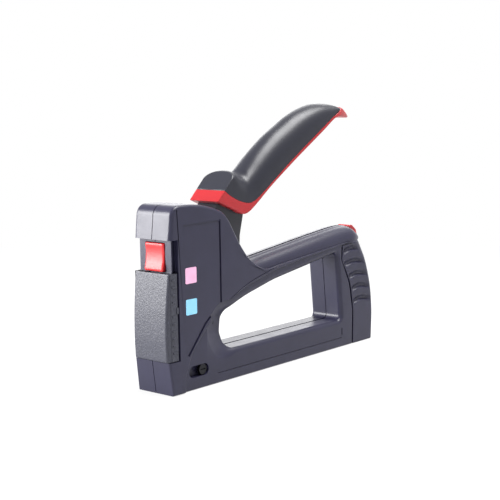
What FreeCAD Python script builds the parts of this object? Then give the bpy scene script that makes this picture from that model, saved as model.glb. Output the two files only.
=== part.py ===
import FreeCAD, Part
import math
import os

V = FreeCAD.Vector

# Hand tacker. Millimetres. Origin: staple exit at the flat foot.
# +X runs back along the magazine, +Z up, Y = 0 is the seam of the two housing halves.

# staples that the tool drives
staple_crown = 11.3
staple_leg = 10.0
staple_wire = 0.75

# sheet-metal magazine
channel_wall = 1.0
crown_clearance = 0.2
rail_wall = 0.9
rail_clearance = 0.25
pusher_length = 12.0
pusher_stroke = 85.0
pusher_front = 1.2
rod_radius = 1.2
rod_height = 6.2
rail_pin_radius = 1.5
rib_radius = 1.2

# housing
frame_length = 142.8
nose_half = 12.2
body_half = 10.7
bar_height = 15.6
hand_room = 39.8
seam_gap = 0.1
running_gap = 0.3
part_gap = 0.4

# driving gear
blade_thickness = 1.3
slot_gap = 0.3
buffer_height = 8.2
plate_half = 7.8
spring_centre_x = 12.0
spring_mean_radius = 5.2
spring_wire = 2.0
spring_clearance = 0.9

# lever, rocker and their pins
lever_pivot_x = 30.0
lever_travel = 29.0
lever_half = 9.7
lever_wall = 2.4
tongue_half = 6.5
tongue_nose_radius = 2.5
rocker_pivot_x = 34.0
rocker_travel = 36.0
rocker_arm = 23.0
rocker_half = 2.5
rocker_tip_radius = 2.2
rocker_boss = 4.2
pin_radius = 2.5
pin_clearance = 0.05

# front cover and its release button
cover_inner_x = -4.25
cover_flange = 1.5
cover_stroke = 14.5
panel_depth = 0.35
rim_flare = 2.8
dish_radius = 13.7
dish_depth = 5.3
button_half = 6.2
button_height = 13.6
button_stroke = 2.0

# detent that holds the closed magazine
detent_radius = 1.5

# lever lock at the rear of the grip
lock_half = 4.5
lock_pin_radius = 1.2

# fasteners
screw_radius = 1.4
screw_head_radius = 2.6
screw_head_height = 2.0
screw_clearance = 0.05
screw_seat = 6.4
recess_floor = 8.6

# derived from the values above
grip_level = bar_height + hand_room
magazine_length = frame_length - 1.8
rail_end = magazine_length + 9.0
rail_pin_place = (magazine_length + 6.0, 6.5)
half_seam = seam_gap / 2
chamber_half = spring_mean_radius + spring_wire / 2 + spring_clearance
chamber_front = spring_centre_x - chamber_half + 0.1
chamber_back = spring_centre_x + chamber_half + 0.1
channel_inner_half = staple_crown / 2 + crown_clearance
channel_half = channel_inner_half + channel_wall
rail_half = staple_crown / 2 - staple_wire - rail_clearance
rail_bottom = 1.2
crown_top = rail_bottom + staple_leg + 1.7
channel_inner_top = crown_top + running_gap
channel_top = channel_inner_top + channel_wall
rail_top = crown_top - staple_wire - crown_clearance
blade_half = staple_crown / 2 - 0.05
blade_x = blade_thickness / 2
blade_room = blade_x + slot_gap
lever_pivot = (lever_pivot_x, grip_level + 18.6)
tongue_nose = (lever_pivot_x + 18.5, lever_pivot[1] - 13.0)
rocker_pivot = (rocker_pivot_x, lever_pivot[1] - 24.0)
rocker_sweep = math.radians(rocker_travel / 2)
rocker_tip = (rocker_pivot[0] - rocker_arm * math.cos(rocker_sweep),
              rocker_pivot[1] - rocker_arm * math.sin(rocker_sweep))
striker_stroke = 2 * rocker_arm * math.sin(rocker_sweep)
tip_slot_half = rocker_tip_radius + 0.45
plunger_bottom = rocker_tip[1] - 8.4
slot_flare = 2.3
plunger_top = rocker_tip[1] + tip_slot_half + slot_flare + 1.5
blade_top = rocker_tip[1] - 3.9
chamber_top = grip_level + 30.6
plate_top = blade_top + 7.0
cover_bottom = bar_height + 1.1
cover_top = grip_level + 3.6
rebate_top = cover_top + cover_stroke + 1.3
button_bottom = cover_top + 0.5
button_top = button_bottom + button_height
lock_pivot = (frame_length + 8.6, grip_level + 6.8)
detent_x = frame_length - 4.6
channel_screw_place = (18.4, bar_height - 6.5)
# halfway up the rear column, which leans forward towards the grip
column_screw_z = bar_height + hand_room / 2 + 0.5
column_screw_x = frame_length - 14.36 + 0.4 * (grip_level - column_screw_z)
housing_screw_places = [
    (chamber_back + 1.8, grip_level + 23.6),
    (26.5, bar_height + 15.4),
    (63.0, grip_level - 4.4),
    (frame_length - 3.3, grip_level + 7.2),
    (column_screw_x, column_screw_z),
]


# ---------- shape helpers ----------

def box(x0, x1, y0, y1, z0, z1):
    return Part.makeBox(x1 - x0, y1 - y0, z1 - z0, V(x0, y0, z0))


def rod_y(x, z, radius, y0, y1):
    return Part.makeCylinder(radius, y1 - y0, V(x, y0, z), V(0, 1, 0))


def rod_x(x0, x1, y, z, radius):
    return Part.makeCylinder(radius, x1 - x0, V(x0, y, z), V(1, 0, 0))


def rod_z(x, y, radius, z0, z1):
    return Part.makeCylinder(radius, z1 - z0, V(x, y, z0), V(0, 0, 1))


def outline(corners, place):
    """Closed face through corners (a, b, radius); place maps (a, b) into space."""
    points = [place(a, b) for a, b, _ in corners]
    entries, leaves, bends = [], [], []
    for i, (_, _, radius) in enumerate(corners):
        here, before, after = points[i], points[i - 1], points[(i + 1) % len(points)]
        u = (before - here).normalize()
        w = (after - here).normalize()
        half = u.getAngle(w) / 2
        reach = radius / math.tan(half) if radius else 0
        entries.append(here + u * reach)
        leaves.append(here + w * reach)
        inward = u + w
        bends.append(here + inward.normalize() * (radius / math.sin(half) - radius) if radius else None)
    edges = []
    for i in range(len(points)):
        if bends[i] is not None:
            edges.append(Part.Arc(entries[i], bends[i], leaves[i]).toShape())
        nxt = entries[(i + 1) % len(points)]
        if leaves[i].distanceToPoint(nxt) > 1e-4:
            edges.append(Part.LineSegment(leaves[i], nxt).toShape())
    return Part.Face(Part.Wire(edges))


def side(corners, y0, y1):
    """Side outline (x, z, radius) as a slab between y0 and y1."""
    return outline(corners, lambda x, z: V(x, y0, z)).extrude(V(0, y1 - y0, 0))


def plan(corners, z0, z1):
    """Plan outline (x, y, radius) as a column between z0 and z1."""
    return outline(corners, lambda x, y: V(x, y, z0)).extrude(V(0, 0, z1 - z0))


def sharp(points):
    return [(x, z, 0) for x, z in points]


def fuse(shapes):
    joined = shapes[0].multiFuse(shapes[1:])
    return joined.removeSplitter()


def cut(shape, tools):
    for tool in tools:
        shape = shape.cut(tool)
    return shape


def turned(point, pivot, degrees):
    """A point of the XZ plane after a turn about +Y."""
    x, z = point[0] - pivot[0], point[1] - pivot[1]
    c, s = math.cos(math.radians(degrees)), math.sin(math.radians(degrees))
    return (pivot[0] + x * c + z * s, pivot[1] - x * s + z * c)


def arc_helix(radius, pitch, turns):
    """Helix drawn as eight arcs a turn, which suits a very small spring."""
    arcs = []
    for i in range(8 * turns):
        places = []
        for share in (0.0, 0.5, 1.0):
            turn = (i + share) / 8
            angle = 2 * math.pi * turn
            places.append(V(radius * math.cos(angle), radius * math.sin(angle), pitch * turn))
        arcs.append(Part.Arc(*places).toShape())
    return arcs


def coil(radius, wire, length, turns, base, axis, small=False):
    """Round-wire helical spring whose wire centres run from base along axis."""
    pitch = length / turns
    path = arc_helix(radius, pitch, turns) if small else Part.makeHelix(pitch, length, radius).Edges
    ring = Part.Wire(Part.makeCircle(wire / 2, V(radius, 0, 0), V(0, 1, pitch / (2 * math.pi * radius))))
    solid = Part.Wire(path).makePipeShell([ring], True, True)
    solid.Placement = FreeCAD.Placement(V(*base), FreeCAD.Rotation(V(0, 0, 1), V(*axis)))
    return solid


def save(name, shape):
    solids = shape.Solids
    out = solids[0] if len(solids) == 1 else Part.makeCompound(solids)
    out.exportStep("parts/" + name + ".step")


# ---------- housing ----------

def above(z):
    """Height above the top of the finger opening."""
    return grip_level + z


def behind(x):
    """Place along the tool, counted from the rear joint of the housing."""
    return frame_length + x


def loop_corners():
    return [(38.2, bar_height, 9.0), (behind(-10.4), bar_height, 3.0), (behind(-13.9), above(-1.6), 3.0),
            (behind(-67.8), above(-9.4), 80.0), (51.0, above(-15.0), 80.0), (36.6, above(-20.5), 7.0),
            (35.4, bar_height + 8.4, 6.0)]


def nose_block():
    """Wide front of the housing and the side band that runs back from it above the finger opening."""
    ledge = cover_bottom - 0.2
    step = cover_top - part_gap
    corners = [(-4.4, 0, 0), (-6.3, ledge, 0), (-3.4, ledge, 0), (-3.4, step, 0), (-2.2, step, 0),
               (-2.2, rebate_top, 0), (-4.3, rebate_top, 0), (-2.4, above(35.6), 5.5),
               (19.0, above(35.0), 45), (37.4, above(28.4), 6), (47.0, above(12.2), 40),
               (57.6, above(1.0), 14), (66.0, above(-3.0), 14), (behind(-64.6), above(-1.5), 60),
               (behind(0.9), above(4.2), 0), (behind(-5.6), above(3.3), 1),
               (behind(-13.8), above(2.2), 1), (behind(-44.2), above(-0.7), 80),
               (behind(-69.6), above(-4.0), 80), (49.2, above(-9.7), 60), (34.0, above(-15.4), 40),
               (22.5, above(-23.4), 40), (9.3, bar_height + 3.9, 20), (4.6, 8.0, 8), (4.3, 0, 0)]
    slab = side(corners, -nose_half, nose_half)
    rear, corner = body_half + 0.2, nose_half - 1.4
    taper = plan([(-12, -corner, 0), (-3.2, -nose_half, 3), (40, -nose_half, 60), (behind(3), -rear, 0),
                  (behind(3), rear, 0), (40, nose_half, 60), (-3.2, nose_half, 3), (-12, corner, 0)],
                 -1, above(45))
    return slab.common(taper)


def grip_bar():
    """Upper bar with a rolled top, cut from a rounded section that climbs towards the rear."""
    corners = [(50.0, above(-5.4), 0), (50.0, above(5.6), 0), (57.0, above(1.5), 10),
               (68.2, above(3.3), 40), (behind(-51.3), above(6.1), 0), (behind(-0.9), above(11.8), 14),
               (behind(7.2), above(10.8), 8), (behind(13.8), above(7.5), 3),
               (behind(16.0), above(4.5), 0), (behind(-5.8), above(3.2), 2),
               (behind(-10.0), above(-5.4), 0), (behind(-22.8), above(-5.4), 0)]
    rise = 8.5 / (behind(-0.9) - 68.2)
    start, reach = 40.0, frame_length
    base = above(3.3) + (start - 68.2) * rise
    section = outline([(-body_half, -40, 0), (-body_half, -0.6, 6.5), (0, 0.4, 40),
                       (body_half, -0.6, 6.5), (body_half, -40, 0)], lambda y, z: V(start, y, base + z))
    bar = section.extrude(V(reach, 0, reach * rise))
    return side(corners, -body_half, body_half).common(bar)


def lower_frame():
    corners = [(0, 0, 0), (behind(-part_gap), 0, 0), (behind(0.3), 19.4, 8),
               (behind(-2.6), above(-20.0), 20), (behind(-10.4), above(-5.2), 0),
               (behind(-5.8), above(2.6), 0), (behind(-22.8), above(2.6), 0), (60.0, above(-5.4), 0),
               (30.0, above(-5.4), 0), (0, above(-15.4), 0)]
    return side(corners, -body_half, body_half)


def loop_cut():
    """Opening for the fingers, with its rims flared outwards and dished at the front."""
    depth = nose_half + 1
    hole = side(loop_corners(), -depth, depth)
    flares = []
    for sign in (-1, 1):
        inner = outline(loop_corners(), lambda x, z: V(x, sign * (body_half - 3.2), z))
        outer = outline(loop_corners(), lambda x, z: V(x, sign * (body_half + 0.8), z))
        outer = outer.makeOffset2D(rim_flare)
        flares.append(Part.makeLoft([inner.OuterWire, outer.OuterWire], True, True))
        floor = V(36.5, sign * (body_half + 0.8 - dish_depth), bar_height + 9.9)
        flares.append(Part.makeCone(1.0, dish_radius, dish_depth, floor, V(0, sign, 0)))
    return [hole] + flares


def label_panel(sign):
    top = above(26.2)
    corners = [(4.6, top, 1), (30.4, top, 1), (30.4, above(-14.6), 1), (18.9, above(-23.0), 12),
               (6.0, bar_height + 2.0, 0.5), (4.6, bar_height + 4.4, 0.5)]
    inner, outer = sorted((sign * (nose_half - panel_depth), sign * (nose_half + 1)))
    return side(corners, inner, outer)


def cover_rebate():
    """Room for the sliding front cover and its side lips."""
    cuts = []
    for sign in (-1, 1):
        inner, outer = sorted((sign * (nose_half - cover_flange - running_gap), sign * (nose_half + 2)))
        cuts.append(box(-9, 0.8, inner, outer, cover_bottom - 0.2, rebate_top))
        inner, outer = sorted((sign * 9.3, sign * nose_half))
        cuts.append(box(-1.6, 0.2, inner, outer, cover_bottom - 0.2, rebate_top))
    return cuts


def striker_room():
    gap = running_gap
    lug_top = blade_top + striker_stroke + 0.8
    return [
        box(-2.15, blade_room, -plate_half - 0.1, plate_half + 0.1, -1, plate_top + 0.2),
        box(-blade_room, blade_room, -blade_half - gap, blade_half + gap, plate_top - 6, lug_top),
        box(0, chamber_front + 0.2, -blade_half - gap, blade_half + gap, plunger_bottom - 1.5, lug_top),
        box(chamber_front, chamber_back, -chamber_half, chamber_half,
            plunger_bottom - buffer_height - gap, chamber_top),
    ]


def rocker_room():
    px, pz = rocker_pivot
    tip_x, tip_z = rocker_tip
    sweep = [(tip_x - 1.1, tip_z - 3.1), (px - 10, pz - 8.4), (px + 6, pz - 8.4),
             (px + 20, pz - 6.4), (px + 23, pz + 7),
             (px + 12, pz + 14), (px - 8, pz + 12.5), (tip_x - 1.1, pz + 12.5)]
    return side(sharp(sweep), -rocker_half - 0.6, rocker_half + 0.6)


def tongue_room():
    px, pz = lever_pivot
    sweep = [(px - 6.7, pz + 26), (px - 6.7, pz - 7.5), (px + 3, pz - 23.6), (px + 15, pz - 23.6),
             (px + 25, pz - 16.4), (px + 40, pz - 16.4), (px + 40, pz + 26)]
    return side(sharp(sweep), -tongue_half - 0.6, tongue_half + 0.6)


def magazine_room():
    half = channel_half + 0.15
    return box(blade_room, behind(30), -half, half, -1, channel_top + 0.15)


def button_room():
    gap = running_gap
    return [box(-9, -0.7 + button_stroke + gap, -button_half - gap, button_half + gap,
                button_bottom - gap, button_top + gap),
            box(-0.3, 3.6, -3.2, 3.2, button_bottom + 3.5, button_bottom + 10.1)]


def lock_room():
    x, z = lock_pivot
    return [box(x - 3.8, x + 20, -lock_half - part_gap, lock_half + part_gap, z - 1.4, z + 18)]


def screw_holes(left):
    holes = []
    for x, z in housing_screw_places:
        wide = nose_half + 2
        if left:
            holes.append(rod_y(x, z, screw_radius + 0.1, -1, wide))
            holes.append(rod_y(x, z, screw_head_radius + 0.2, screw_seat, wide))
        else:
            holes.append(rod_y(x, z, screw_radius + screw_clearance, -9.0, 1))
    return holes


def pin_holes():
    radius = pin_radius + pin_clearance
    return [rod_y(lever_pivot[0], lever_pivot[1], radius, -9.9, 9.9),
            rod_y(rocker_pivot[0], rocker_pivot[1], radius, -9.9, 9.9),
            rod_y(lock_pivot[0], lock_pivot[1], lock_pin_radius + pin_clearance, -7.3, 7.3)]


def recess_slots(sign):
    """Oval recess of the channel screw, the moulded line and the small slot beside it."""
    x, z = channel_screw_place
    y_in, y_out = sorted((sign * recess_floor, sign * (nose_half + 1)))
    oval = side([(x - 10.5, z - 2.9, 2.85), (x + 3.4, z - 2.9, 2.85), (x + 3.4, z + 2.9, 2.85),
                 (x - 10.5, z + 2.9, 2.85)], y_in, y_out)
    line_in, line_out = sorted((sign * (body_half - 0.25), sign * (body_half + 1)))
    moulded = box(28.7, behind(-10.6), line_in, line_out, 5.15, 5.45)
    slot_in, slot_out = sorted((sign * (body_half - 1.1), sign * (body_half + 1)))
    slot = box(behind(-10.5), behind(-9.7), slot_in, slot_out, 6.7, 10.7)
    hole_in, hole_out = sorted((sign * (channel_half - 0.5), sign * (recess_floor + 1)))
    return [oval, moulded, slot, rod_y(x, z, screw_radius + screw_clearance, hole_in, hole_out)]


def detent_room():
    base = bar_height + 1.0
    return [rod_z(detent_x, 0, detent_radius + 0.2, base + 3, base + 13.9),
            box(detent_x - 4.6, behind(3), -3.3, 3.3, base, base + 5.9)]


def hollows():
    """Weight-saving pockets in the grip bar."""
    corners = [(70.0, above(-5.4), 1), (behind(-11.8), above(3.4), 1), (behind(-11.8), above(7.2), 1),
               (70.0, above(0.0), 1)]
    return [side(corners, -body_half + 3.4, body_half - 3.4)]


def housing():
    body = fuse([nose_block(), grip_bar(), lower_frame()])
    tools = loop_cut() + cover_rebate() + striker_room() + button_room() + lock_room() + pin_holes()
    tools += [rocker_room(), tongue_room(), magazine_room()] + detent_room() + hollows()
    for sign in (-1, 1):
        tools += recess_slots(sign) + [label_panel(sign)]
    return cut(body, tools)


def housing_half(body, sign):
    y0, y1 = sorted((sign * half_seam, sign * 40))
    half = body.common(box(-30, behind(60), y0, y1, -5, above(70)))
    half = cut(half, screw_holes(sign > 0))
    return max(half.Solids, key=lambda s: s.Volume)


# ---------- fasteners and pins ----------

def housing_screws():
    screws = []
    for x, z in housing_screw_places:
        top = screw_seat + screw_head_height
        head = rod_y(x, z, screw_head_radius, screw_seat, top)
        drive = box(x - 1.6, x + 1.6, top - 1, top + 1, z - 0.4, z + 0.4)
        cross = box(x - 0.4, x + 0.4, top - 1, top + 1, z - 1.6, z + 1.6)
        screws.append(cut(fuse([rod_y(x, z, screw_radius, -8.8, screw_seat + 0.2), head]),
                          [drive, cross]))
    return Part.makeCompound(screws)


def channel_screws():
    screws = []
    for sign in (-1, 1):
        x, z = channel_screw_place
        y_tip, y_head = sign * (channel_half - 0.5), sign * recess_floor
        shank = rod_y(x, z, screw_radius, *sorted((y_tip, y_head)))
        head = rod_y(x, z, screw_head_radius, *sorted((y_head, y_head + sign * 1.4)))
        slot = box(x - 1.8, x + 1.8, *sorted((y_head + sign * 0.8, y_head + sign * 3)), z - 0.3, z + 0.3)
        screws.append(cut(fuse([shank, head]), [slot]))
    return Part.makeCompound(screws)


def cross_pin(pivot, radius, half):
    pin = rod_y(pivot[0], pivot[1], radius, -half, half)
    ends = [e for e in pin.Edges if e.Curve.TypeId == "Part::GeomCircle"]
    return pin.makeChamfer(0.4, ends)


# ---------- magazine ----------

def magazine_channel():
    outer = box(blade_room, magazine_length, -channel_half, channel_half, 0.5, channel_top)
    inner = box(-1, behind(60), -channel_inner_half, channel_inner_half, 0, channel_inner_top)
    holes = [rod_y(*channel_screw_place, screw_radius + screw_clearance, -9, 9)]
    return cut(outer, [inner] + holes)


def magazine_rail():
    """Inverted U that the staples ride on; it slides out with the rear grip."""
    outer = box(1.6, rail_end, -rail_half, rail_half, rail_bottom, rail_top)
    inner = box(-1, rail_end + 9, -rail_half + rail_wall, rail_half - rail_wall, 0, rail_top - rail_wall)
    slot = box(2.6, 2.6 + pusher_length + pusher_stroke, -1.2, 1.2, 5, rail_top + 5)
    cross = rod_y(*rail_pin_place, rail_pin_radius + pin_clearance, -9, 9)
    return cut(outer, [inner, slot, cross])


def pusher():
    """Saddle over the rail, with a foot inside it on the guide rod."""
    back = pusher_front + pusher_length
    saddle = box(pusher_front, back, -staple_crown / 2, staple_crown / 2, 3.0, crown_top)
    over_rail = box(0, back + 9, -rail_half - 0.1, rail_half + 0.1, 0, rail_top + 0.15)
    inner = rail_half - rail_wall - 0.25
    foot = box(pusher_front + 2, back, -inner, inner, 2.6, rail_top - rail_wall - 0.2)
    neck = box(pusher_front + 2, back, -0.95, 0.95, 8, rail_top + 1)
    bore = rod_x(0, back + 9, 0, rod_height, rod_radius + 0.15)
    return cut(fuse([saddle.cut(over_rail), foot, neck]), [bore])


def pusher_rod():
    return rod_x(2.2, magazine_length + 3, 0, rod_height, rod_radius)


def pusher_spring():
    start = pusher_front + pusher_length + 0.5
    return coil(rod_radius + 1.1, 0.8, magazine_length - 3.2 - start, 24, (start, 0, rod_height),
                (1, 0, 0))


def grip_ribs():
    """Finger ribs that cross both sides of the rear grip."""
    ribs = []
    pitch = (hand_room - 9.0) / 4
    for i in range(5):
        z = above(-4.6) - i * pitch
        front = behind(0.6) - 9.0 * max(0.0, (z - bar_height - 8) / (hand_room - 8)) ** 1.6
        back = behind(20.0) - 8.0 * max(0.0, (z - bar_height - 8) / (hand_room - 8)) ** 2
        run = V(back - front, 0, 2.0)
        for sign in (-1, 1):
            base = V(front + 1.6, sign * (body_half - 0.85), z)
            ribs.append(Part.makeCylinder(rib_radius, run.Length - 5.2, base, run))
    return ribs


def rear_grip():
    """Ribbed end of the magazine slide, a thick-walled moulding."""
    gap = part_gap
    corners = [(behind(gap), 0.0, 0.5), (behind(0.7 + gap), 19.4, 8),
               (behind(-2.2 + gap), above(-20.0), 20), (behind(-9.9 + gap), above(-5.3), 1),
               (behind(-5.4 + gap), above(2.7), 1.5), (behind(16.2), above(4.0), 1.5),
               (behind(21.0), above(-19.4), 60), (behind(20.8), 0.0, 1.0)]
    shape = side(corners, -body_half, body_half)
    back = behind(21.1)
    rounding = plan([(behind(-23), -body_half, 0), (back, -body_half, 4.5), (back, body_half, 4.5),
                     (behind(-23), body_half, 0)], -1, above(15))
    floor, ceiling, inside = bar_height + 8.4, above(0.6), body_half - 2.6
    pocket = side(sharp([(behind(-13), floor), (behind(17), floor), (behind(17), above(-19)),
                         (behind(12.7), ceiling), (behind(-13), ceiling)]), -inside, inside)
    inner_half = rail_half - rail_wall - 0.05
    rail_seat = box(behind(-13),
                    rail_end + 0.2, -rail_half - 0.05, rail_half + 0.05, 0.9, rail_top + 0.05)
    seat_core = box(magazine_length + 3, rail_end + 1, -inner_half, inner_half, 0.9,
                    rail_top - rail_wall - 0.05)
    base = bar_height + 1.4
    tongue = box(detent_x - 4.0, behind(3.2), -3.0, 3.0, base, base + 5.2)
    dimple = Part.makeSphere(detent_radius + 0.1, V(detent_x, 0, base + 6.3))
    joint = box(behind(-0.6), behind(1.2), -2.0, 2.0, base, base + 5.0)
    shape = cut(shape.common(rounding), [pocket, rail_seat])
    shape = fuse([shape, seat_core, tongue.cut(dimple), joint])
    holes = [rod_y(*rail_pin_place, rail_pin_radius + pin_clearance, -9, 9),
             rod_x(behind(-13), magazine_length + 3.05, 0, rod_height, rod_radius + 0.05)]
    return cut(shape, holes)


def detent_ball():
    return Part.makeSphere(detent_radius, V(detent_x, 0, bar_height + 8.4))


def detent_spring():
    return coil(1.0, 0.4, 4.2, 5, (detent_x, 0, bar_height + 10.3), (0, 0, 1), small=True)


# ---------- driving gear ----------

def driver_blade():
    blade = box(-blade_x, blade_x, -blade_half, blade_half, 0.6, blade_top)
    holes = [rod_x(-2, 2, y, blade_top - 2.4, 1.2) for y in (-3, 3)]
    return cut(blade, holes)


def blade_rivets():
    return Part.makeCompound([rod_x(-blade_x, 3.6, y, blade_top - 2.4, 1.15) for y in (-3, 3)])


def plunger():
    """Block that carries the blade; the rocker tip lifts it in its rear slot."""
    back = chamber_back - 0.4
    block = box(chamber_front + 0.5, back - 0.1, -chamber_half + 0.4, chamber_half - 0.4,
                plunger_bottom, plunger_top)
    lug_half = blade_half - 0.2
    lug = box(blade_x, chamber_front + 0.8, -lug_half, lug_half, plunger_bottom, blade_top)
    x, z = rocker_tip
    near, far = tip_slot_half, tip_slot_half + slot_flare
    slot = side(sharp([(x - 3.9, z - near), (x + 0.6, z - near), (back, z - far), (back, z + far),
                       (x + 0.6, z + near), (x - 3.9, z + near)]), -rocker_half - 0.4, rocker_half + 0.4)
    holes = [rod_x(0, 3.6, y, blade_top - 2.4, 1.2) for y in (-3, 3)]
    stub_radius = spring_mean_radius - spring_wire / 2 - 0.4
    stub = rod_z(spring_centre_x, 0, stub_radius, plunger_top - 1, plunger_top + 5)
    return cut(fuse([block, lug, stub]), [slot] + holes)


def power_spring():
    start = plunger_top + spring_wire / 2 + 0.05
    length = chamber_top - 1.4 - spring_wire / 2 - 0.05 - start
    return coil(spring_mean_radius, spring_wire, length, 6, (spring_centre_x, 0, start), (0, 0, 1))


def spring_seat():
    seat = rod_z(spring_centre_x, 0, spring_mean_radius + 1.3, chamber_top - 1.4, chamber_top)
    return seat.cut(rod_z(spring_centre_x, 0, 2.2, chamber_top - 2, chamber_top + 1))


def strike_buffer():
    top = plunger_bottom - running_gap
    pad = box(chamber_front + 0.3, chamber_back - 0.3, -chamber_half + 0.3, chamber_half - 0.3,
              top - buffer_height, top)
    return pad.cut(rod_z(spring_centre_x, 0, 2.5, top - buffer_height - 1, top + 1))


def nose_plate():
    plate = box(-2.1, -blade_x - 0.2, -plate_half, plate_half, 0.3, plate_top)
    return plate.cut(rod_x(-3, 0, 0, bar_height + 14.4, 1.6))


# ---------- lever and rocker ----------

def cam_arc():
    """Three places of the tongue nose in the rocker's own frame, as the lever closes."""
    spots = []
    for share in (0.0, 0.5, 1.0):
        nose = turned(tongue_nose, lever_pivot, lever_travel * share)
        spots.append(turned(nose, rocker_pivot, -rocker_travel * share))
    return spots


def lifting_rocker():
    a, b, c = cam_arc()
    ring = Part.Arc(V(a[0], 0, a[1]), V(b[0], 0, b[1]), V(c[0], 0, c[1]))
    circle = ring.toShape().Curve
    centre, radius = circle.Center, circle.Radius
    px, pz = rocker_pivot
    arm = side(sharp([(px + 0.5, pz - rocker_boss), (px + 17.0, pz + 5.4), (px + 17.0, pz + 13),
                      (px - 1, pz + 13)]), -rocker_half, rocker_half)
    face = radius - tongue_nose_radius - 0.1
    keep = rod_y(centre.x, centre.z, face, -rocker_half, rocker_half)
    boss = rod_y(px, pz, rocker_boss, -rocker_half, rocker_half)
    c, s = math.cos(rocker_sweep), math.sin(rocker_sweep)
    widths = [(0, rocker_tip_radius), (8.5, rocker_tip_radius + 0.1), (rocker_arm, rocker_boss)]
    upper = [(rocker_tip[0] + d * c - w * s, rocker_tip[1] + d * s + w * c) for d, w in widths]
    lower = [(rocker_tip[0] + d * c + w * s, rocker_tip[1] + d * s - w * c) for d, w in widths]
    front = side(sharp(upper + lower[::-1]), -rocker_half, rocker_half)
    tip = rod_y(*rocker_tip, rocker_tip_radius, -rocker_half, rocker_half)
    shape = fuse([arm.common(keep), boss, front, tip])
    return shape.cut(rod_y(px, pz, pin_radius + pin_clearance, -9, 9))


def from_pivot(corners):
    """Corners (x, z, radius) counted from the lever pivot."""
    return [(lever_pivot[0] + x, lever_pivot[1] + z, radius) for x, z, radius in corners]


def lever_tongue():
    """Inner arm of the lever: eye, web and the nose that presses on the rocker."""
    px, pz = lever_pivot
    nx, nz = tongue_nose
    web = from_pivot([(17.7, -15.2, 0), (20.9, -13.6, 0), (21.4, -2.4, 3), (24.1, 7.9, 0),
                      (24.6, 12.2, 1), (11.5, 17.6, 1), (7.4, 17.2, 1), (-5.5, 2.4, 0),
                      (-4.2, -4.2, 0)])
    plate = side(web, -tongue_half, tongue_half)
    boss = rod_y(px, pz, 6.0, -tongue_half, tongue_half)
    nose = rod_y(nx, nz, tongue_nose_radius, -tongue_half, tongue_half)
    relief = rod_y(px, pz, 5.9, -tongue_half - 1, -3.3)
    bore = rod_y(px, pz, pin_radius + pin_clearance, -9, 9)
    return cut(fuse([plate, boss, nose]), [relief, bore])


def lever_body():
    """Outer shape of red shell and soft grip together."""
    corners = from_pivot([(1.6, 16.4, 0.6), (21.8, 7.6, 3.0), (26.6, 9.8, 4), (36.8, 18.6, 40),
                          (79.2, 42.2, 0), (104.0, 55.4, 8), (124.0, 54.2, 0.6), (112.0, 61.6, 10),
                          (103.0, 62.9, 20), (74.0, 58.6, 40), (46.1, 44.2, 80), (27.0, 27.8, 5),
                          (16.2, 30.8, 4)])
    return side(corners, -lever_half, lever_half)


def shell_region():
    """What belongs to the red shell: front block, thin strip and the beak."""
    corners = from_pivot(sharp([(-10, 25.6), (7.8, 19.5), (19.4, 14.7), (26.3, 13.3), (31.0, 14.6),
                                (36.0, 19.6), (79.0, 43.8), (99.4, 55.6), (106.0, 58.2), (112.0, 66.0),
                                (140, 66.0), (140, -14), (-10, -14)]))
    return side(corners, -20, 20)


def lever_hollow():
    corners = from_pivot([(7.0, 17.6, 1), (21.6, 10.8, 1), (26.0, 12.0, 1), (37.4, 22.6, 4),
                          (79.0, 46.0, 4), (95.0, 55.2, 2), (96.6, 58.8, 1), (76.0, 55.4, 20),
                          (47.0, 40.6, 30), (28.0, 24.6, 6), (16.2, 27.0, 3)])
    return side(corners, -lever_half + lever_wall, lever_half - lever_wall)


def lever_shell():
    mouth = side(from_pivot(sharp([(5.0, 10.0), (24.8, 4.0), (24.8, 12.4), (11.5, 17.8), (6.4, 17.8),
                                   (5.0, 16.2)])), -tongue_half - 0.05, tongue_half + 0.05)
    return cut(lever_body().common(shell_region()), [lever_hollow(), mouth])


def lever_grip():
    return cut(lever_body(), [shell_region(), lever_hollow()])


def return_spring():
    return coil(4.3, 0.8, 2.4, 2, (lever_pivot[0], -6.3, lever_pivot[1]), (0, 1, 0), small=True)


# ---------- front cover, button and lock ----------

def front_cover():
    """Bowed plate with side flanges whose lips run in the housing's grooves."""
    bulge = cover_bottom + (cover_top - cover_bottom) * 0.32
    shoulder = cover_bottom + (cover_top - cover_bottom) * 0.6
    face = [(cover_inner_x, cover_bottom, 0), (-7.0, cover_bottom, 0.6), (-7.5, bulge, 60),
            (-6.9, shoulder, 60), (-5.1, cover_top, 0.5), (cover_inner_x, cover_top, 0)]
    pieces = [side(face, -nose_half, nose_half)]
    tab = cover_bottom + 22.9
    top = cover_top - 0.1
    for sign in (-1, 1):
        inner, outer = sorted((sign * (nose_half - cover_flange), sign * nose_half))
        pieces.append(box(-5.0, -0.1, inner, outer, cover_bottom, top))
        pieces.append(box(-1, 0.4, inner, outer, tab, tab + 3.0))
        inner, outer = sorted((sign * (nose_half - 2.6), sign * (nose_half - 0.5)))
        pieces.append(box(-1.3, -0.1, inner, outer, cover_bottom, top))
    corner = nose_half - 2.8
    trim = plan([(-12, -corner, 0), (-7.2, -corner - 2, 2), (-4.4, -nose_half, 1), (6, -nose_half, 0),
                 (6, nose_half, 0), (-4.4, nose_half, 1), (-7.2, corner + 2, 2),
                 (-12, corner, 0)], 0, cover_top + 9)
    return fuse(pieces).common(trim)


def cover_button():
    """Release button with a slightly hollow face and a guide stem."""
    face = [(-0.7, button_bottom, 0), (-3.4, button_bottom, 0.5), (-4.1, button_bottom + 1.9, 2),
            (-3.2, button_bottom + 6.5, 12), (-3.1, button_top, 0.6), (-0.7, button_top, 0)]
    stem = rod_x(-1.0, 1.4, 0, button_bottom + button_height / 2, 1.5)
    return fuse([side(face, -button_half, button_half), stem])


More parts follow.
